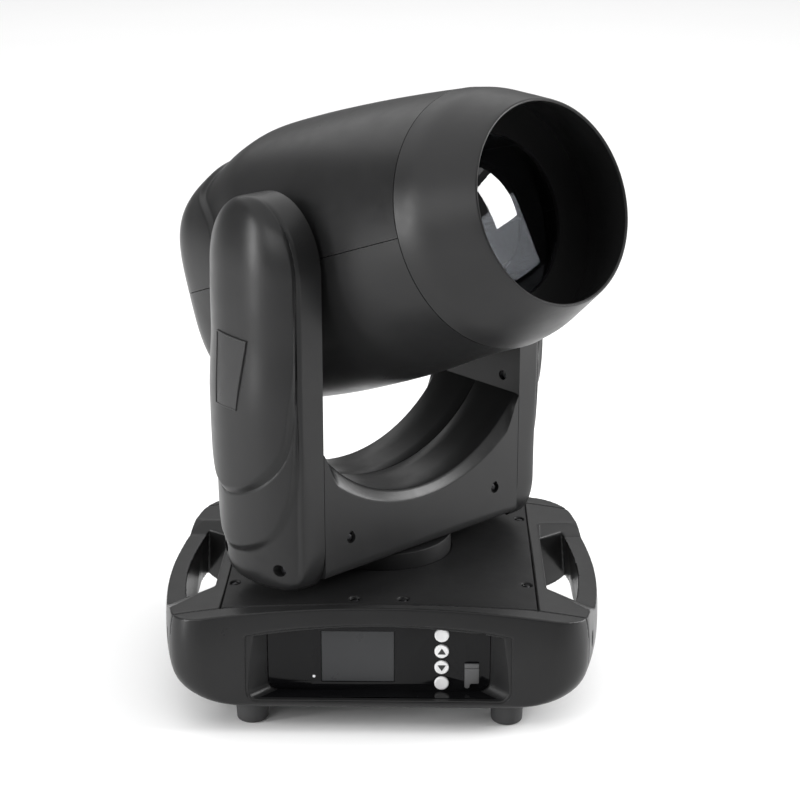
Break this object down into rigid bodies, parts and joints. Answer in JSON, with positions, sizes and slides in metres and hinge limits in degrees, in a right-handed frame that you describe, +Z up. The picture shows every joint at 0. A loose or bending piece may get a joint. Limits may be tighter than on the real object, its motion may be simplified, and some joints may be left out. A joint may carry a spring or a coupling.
{
  "type": "moving head light",
  "caption": "Moving head light on a low base with side hand holes, a menu panel and sockets; the yoke pans, and the round head with its lens hood tilts.",
  "frame": {"origin": "on the pan axis, at the underside of the base plate", "axes": "+Z up along the pan axis, -Y towards the display side of the base, +X towards the buttons' side; at rest the yoke is panned 43.4 degrees and the head points 19.8 degrees up"},
  "size_m": [0.3838, 0.3789, 0.525],
  "materials": {
    "black_plastic": "fine satin texture",
    "black_metal": "satin powder coat",
    "gloss_black": "glossy",
    "screen": "glossy",
    "white_plastic": "smooth satin",
    "rubber": "matt",
    "steel": "bright machined",
    "aluminium": "plain",
    "brass": "machined",
    "circuit_board": "solder mask",
    "glass": "clear"
  },
  "bodies": {
    "base": {"base_plate": "black_metal", "base_front_cover": "black_plastic", "base_rear_cover": "black_plastic", "base_top_cover": "black_plastic", "left_handle": "black_plastic", "right_handle": "black_plastic", "pan_collar": "black_plastic", "display_housing": "black_plastic", "display_panel": "gloss_black", "lcd_screen": "screen", "control_board": "circuit_board", "pan_shaft": "steel", "pan_fixed_pulley": "aluminium", "power_supply": "aluminium", "connector_panel": "black_metal", "power_inlet": "black_plastic", "power_outlet": "black_plastic", "data_inlet": "black_metal", "data_outlet": "black_metal", "fuse_holder": "black_plastic", "front_left_foot": "rubber", "front_right_foot": "rubber", "rear_left_foot": "rubber", "rear_right_foot": "rubber"},
    "yoke": {"left_arm_cover": "black_plastic", "right_arm_cover": "black_plastic", "left_arm_panel": "black_plastic", "right_arm_panel": "black_plastic", "left_tilt_bearing": "steel", "right_tilt_bearing": "steel", "yoke_front_cover": "black_plastic", "yoke_rear_cover": "black_plastic", "yoke_bracket": "steel", "pan_bearing": "steel", "pan_motor": "black_metal", "pan_belt": "rubber", "tilt_motor": "black_metal", "tilt_belt": "rubber", "left_badge": "gloss_black"},
    "head": {"head_upper_shell": "black_plastic", "head_lower_shell": "black_plastic", "rear_grille": "black_metal", "lens_hood": "black_plastic", "front_lens": "glass", "head_frame": "aluminium", "tilt_pulley": "aluminium", "heatsink": "aluminium", "led_module": "white_plastic"},
    "menu_button": {"menu_button": "white_plastic"},
    "up_button": {"up_button": "white_plastic"},
    "down_button": {"down_button": "white_plastic"},
    "enter_button": {"enter_button": "white_plastic"},
    "usb_cover": {"usb_cover": "rubber"},
    "pan_drive_pulley": {"pan_drive_pulley": "brass"},
    "tilt_drive_pulley": {"tilt_drive_pulley": "brass"},
    "fan_rotor": {"fan_rotor": "black_plastic"},
    "colour_wheel": {"colour_wheel": "aluminium"},
    "gobo_wheel": {"gobo_wheel": "aluminium"},
    "prism": {"prism": "glass"},
    "focus_lens": {"focus_lens": "glass"}
  },
  "joints": [
    {"name": "pan", "type": "hinge", "parent": "base", "child": "yoke", "pos_m": [0, 0, 0], "axis": [0, 0, 1], "range_deg": [-313, 227]},
    {"name": "tilt", "type": "hinge", "parent": "yoke", "child": "head", "pos_m": [0, 0, 0.3562], "axis": [0.7266, 0.6871, 0], "range_deg": [-205, 64.5]},
    {"name": "pan_drive", "type": "hinge", "parent": "yoke", "child": "pan_drive_pulley", "pos_m": [0.04505, 0.0426, 0.121], "axis": [0, 0, 1], "range_deg": [-965, 1331]},
    {"name": "tilt_drive", "type": "hinge", "parent": "yoke", "child": "tilt_drive_pulley", "pos_m": [-0.09358, -0.0885, 0.147], "axis": [0.7266, 0.6871, 0], "range_deg": [-1128, 355]},
    {"name": "menu_press", "type": "slide", "parent": "base", "child": "menu_button", "axis": [0, 1, 0], "range_m": [0, 0.001], "stiffness_N_per_m": 500, "springref_m": -0.0004},
    {"name": "up_press", "type": "slide", "parent": "base", "child": "up_button", "axis": [0, 1, 0], "range_m": [0, 0.001], "stiffness_N_per_m": 500, "springref_m": -0.0004},
    {"name": "down_press", "type": "slide", "parent": "base", "child": "down_button", "axis": [0, 1, 0], "range_m": [0, 0.001], "stiffness_N_per_m": 500, "springref_m": -0.0004},
    {"name": "enter_press", "type": "slide", "parent": "base", "child": "enter_button", "axis": [0, 1, 0], "range_m": [0, 0.001], "stiffness_N_per_m": 500, "springref_m": -0.0004},
    {"name": "usb_flap", "type": "hinge", "parent": "base", "child": "usb_cover", "pos_m": [0.077, -0.1282, 0.0345], "axis": [-1, 0, 0], "range_deg": [0, 110], "stiffness_Nm_per_rad": 0.002},
    {"name": "fan_spin", "type": "hinge", "parent": "head", "child": "fan_rotor", "pos_m": [-0.10343, 0.10938, 0.302], "axis": [0.6465, -0.6836, 0.3387], "continuous": true},
    {"name": "colour_wheel_spin", "type": "hinge", "parent": "head", "child": "colour_wheel", "pos_m": [-0.01655, 0.04952, 0.37317], "axis": [0.6465, -0.6836, 0.3387], "continuous": true},
    {"name": "gobo_wheel_spin", "type": "hinge", "parent": "head", "child": "gobo_wheel", "pos_m": [-0.03947, 0.00971, 0.37791], "axis": [0.6465, -0.6836, 0.3387], "continuous": true},
    {"name": "prism_spin", "type": "hinge", "parent": "head", "child": "prism", "pos_m": [0.0157, -0.0166, 0.36655], "axis": [0.6465, -0.6836, 0.3387], "continuous": true},
    {"name": "focus_slide", "type": "slide", "parent": "head", "child": "focus_lens", "axis": [0.6465, -0.6836, 0.3387], "range_m": [-0.02, 0.03]}
  ],
  "couplings": [
    {"joint": "pan_drive", "follows": "pan", "ratio": -4.25},
    {"joint": "tilt_drive", "follows": "tilt", "ratio": 5.5}
  ]
}
